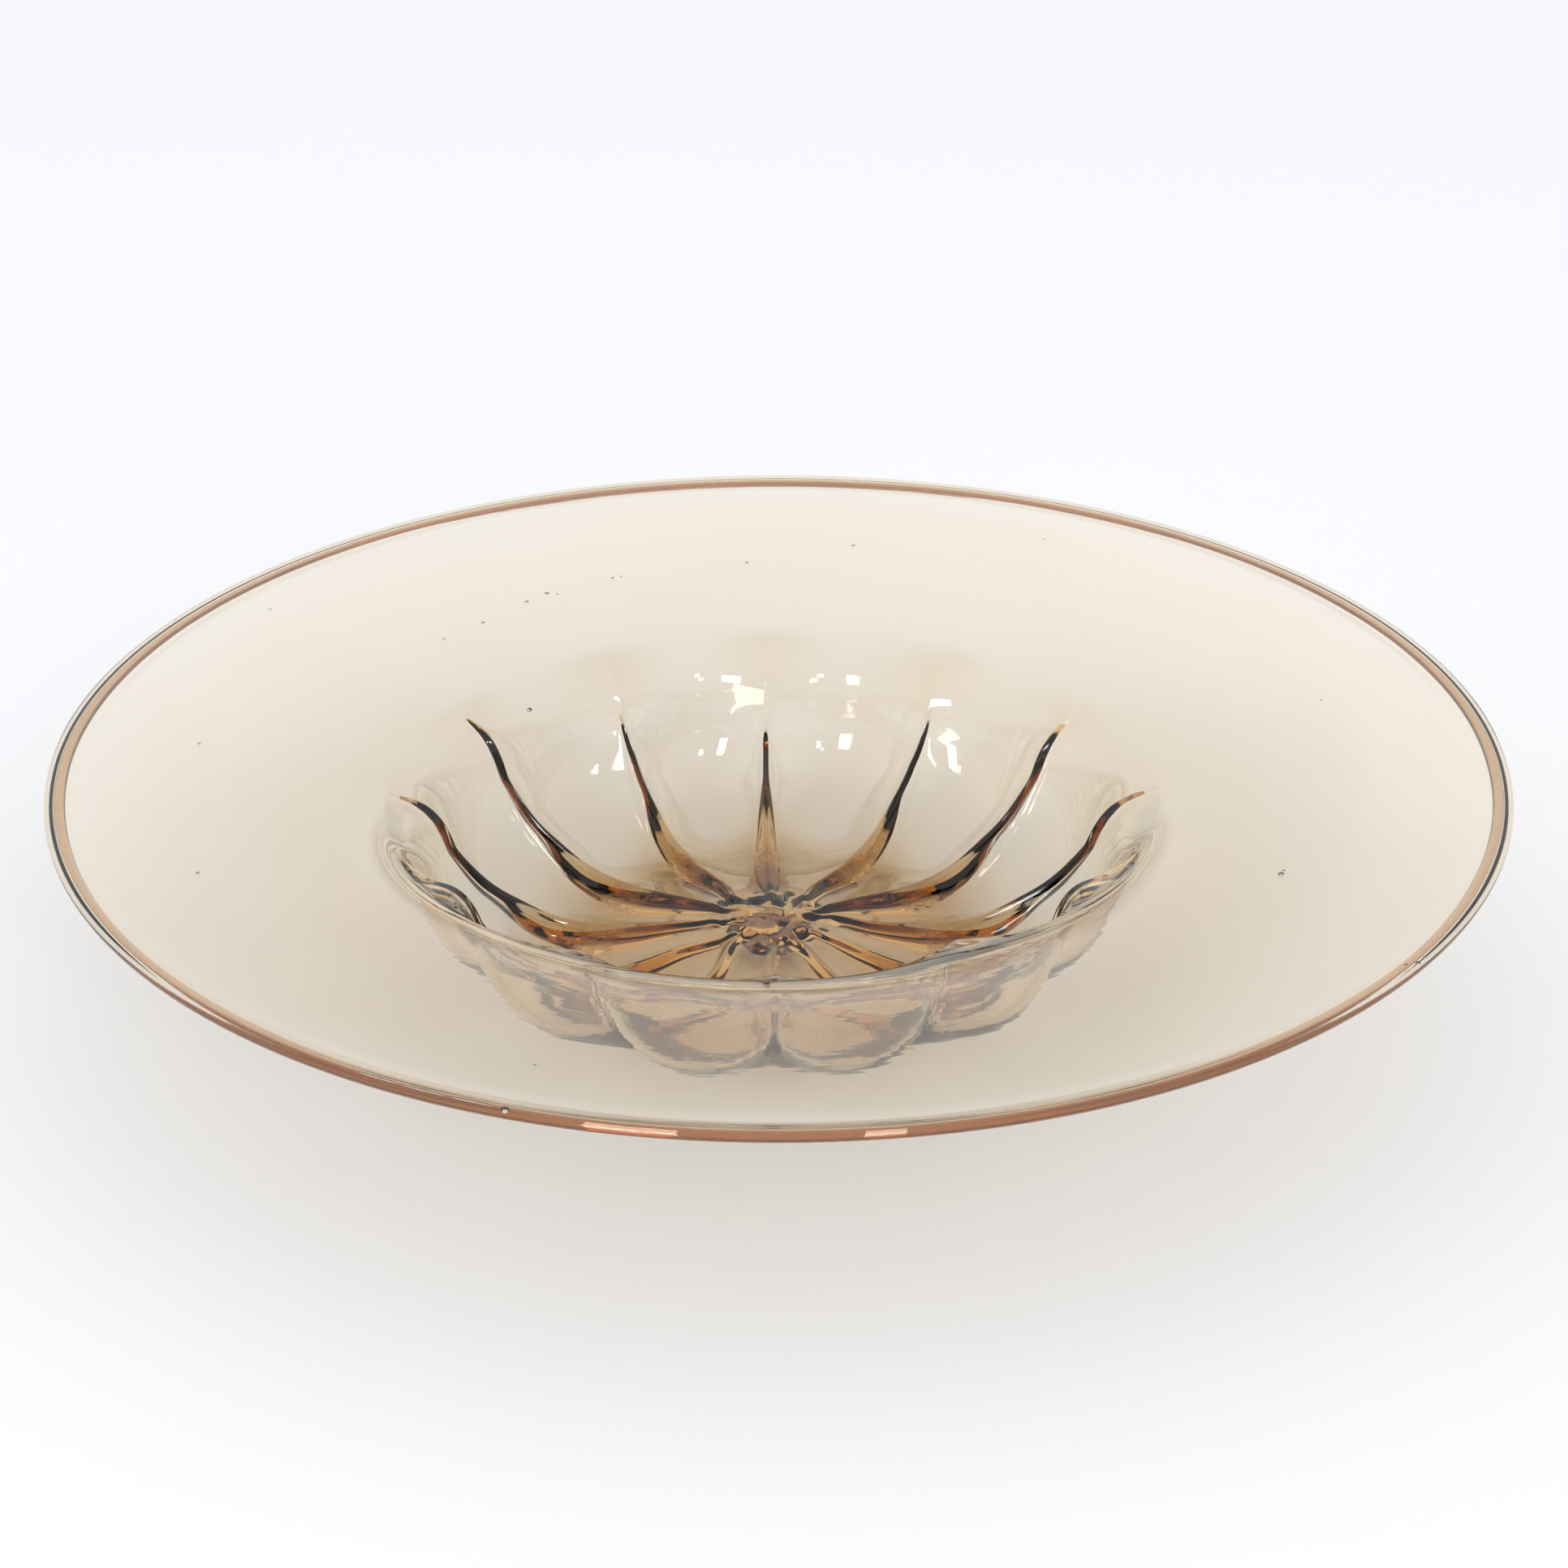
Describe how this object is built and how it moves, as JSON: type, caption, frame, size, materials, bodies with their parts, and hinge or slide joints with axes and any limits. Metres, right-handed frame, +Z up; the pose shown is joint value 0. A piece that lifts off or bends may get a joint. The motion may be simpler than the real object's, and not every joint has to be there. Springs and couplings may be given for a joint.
{
  "type": "glass centrepiece bowl",
  "caption": "Wide shallow hand-blown bowl: nearly flat brim with a folded rim round a deep ribbed well on a pushed-up base.",
  "frame": {"origin": "centre of the resting face, on the surface that the bowl stands on", "axes": "+Z up along the axis of the bowl; one rib of the well lies along +Y and one along +X"},
  "size_m": [0.4, 0.4, 0.0684],
  "materials": {
    "amber_glass": "fire-polished clear blown glass, pale smoky amber, darker where it is thick",
    "pontil_glass": "clear amber glass with a rough broken face"
  },
  "bodies": {
    "root": {"pushed_base": "amber_glass", "lobed_wall": "amber_glass", "brim": "amber_glass", "folded_rim": "amber_glass", "pontil_pad": "pontil_glass"}
  },
  "joints": []
}
